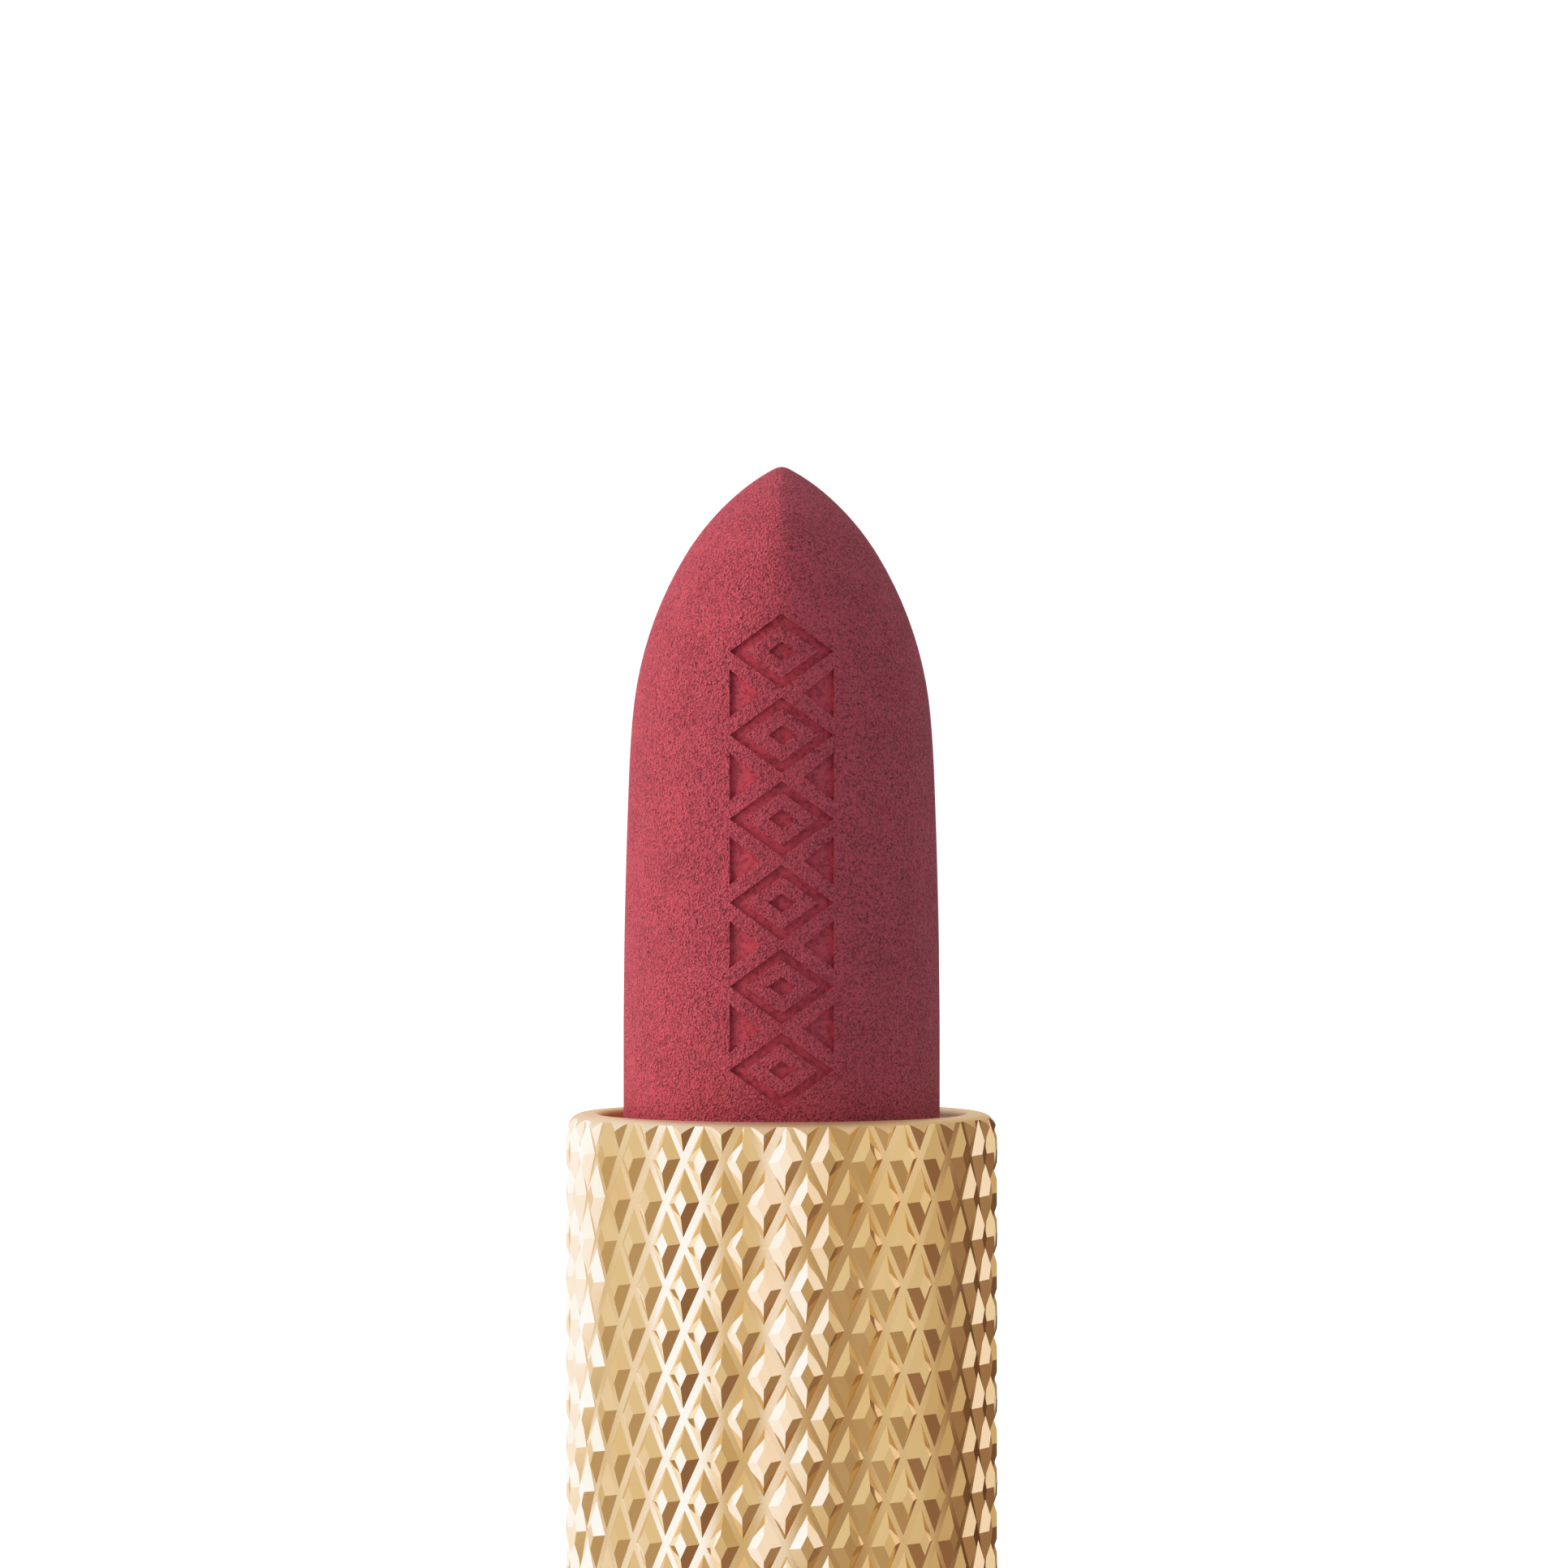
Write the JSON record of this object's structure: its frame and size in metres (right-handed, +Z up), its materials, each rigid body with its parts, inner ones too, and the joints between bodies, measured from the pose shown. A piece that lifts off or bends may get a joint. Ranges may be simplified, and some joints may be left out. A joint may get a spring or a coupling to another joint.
{
  "type": "lipstick case",
  "caption": "Twist-up lipstick case standing on its base, with a round-lipped neck, spiral lift mechanism and raised pointed bullet.",
  "frame": {"origin": "centre of the underside of the base, on the surface it stands on", "axes": "+Z up along the axis of the case; the lugs of the cup and the slots of the guide tube lie on the X axis"},
  "size_m": [0.0192, 0.0192, 0.0707],
  "materials": {
    "gold_shell": "polished diamond-cut gold plate with a satin rim",
    "gold_satin": "satin gold plate",
    "mechanism_white": "moulded, greased where it slides",
    "mechanism_gold": "moulded with a warm metallised coat",
    "sleeve_metal": "drawn aluminium",
    "weight_steel": "turned steel",
    "brake_rubber": "soft rubber",
    "adhesive": "foam adhesive tape",
    "lipstick_wax": "matte rose wax with a fine grain"
  },
  "bodies": {
    "base": {"base_shell": "gold_shell", "base_liner": "mechanism_white", "base_weight": "weight_steel", "disc_adhesive": "adhesive", "bottom_disc": "gold_satin", "seat_ring": "gold_satin", "guide_foot": "mechanism_white", "guide_tube": "mechanism_gold", "thrust_washer": "mechanism_white", "brake_ring_lower": "brake_rubber", "brake_ring_upper": "brake_rubber"},
    "neck": {"neck_shell": "gold_shell", "spiral_sleeve": "sleeve_metal", "spiral_tube": "mechanism_white"},
    "lift": {"lipstick_cup": "mechanism_gold", "lipstick_bullet": "lipstick_wax"}
  },
  "joints": [
    {"name": "neck_twist", "type": "hinge", "parent": "base", "child": "neck", "pos_m": [0, 0, 0.0252], "axis": [0, 0, 1], "range_deg": [0, 520]},
    {"name": "bullet_lift", "type": "slide", "parent": "base", "child": "lift", "axis": [0, 0, 1], "range_m": [-0.026, 0]}
  ],
  "couplings": [
    {"joint": "bullet_lift", "follows": "neck_twist", "m_per_rad": -0.0028648}
  ]
}
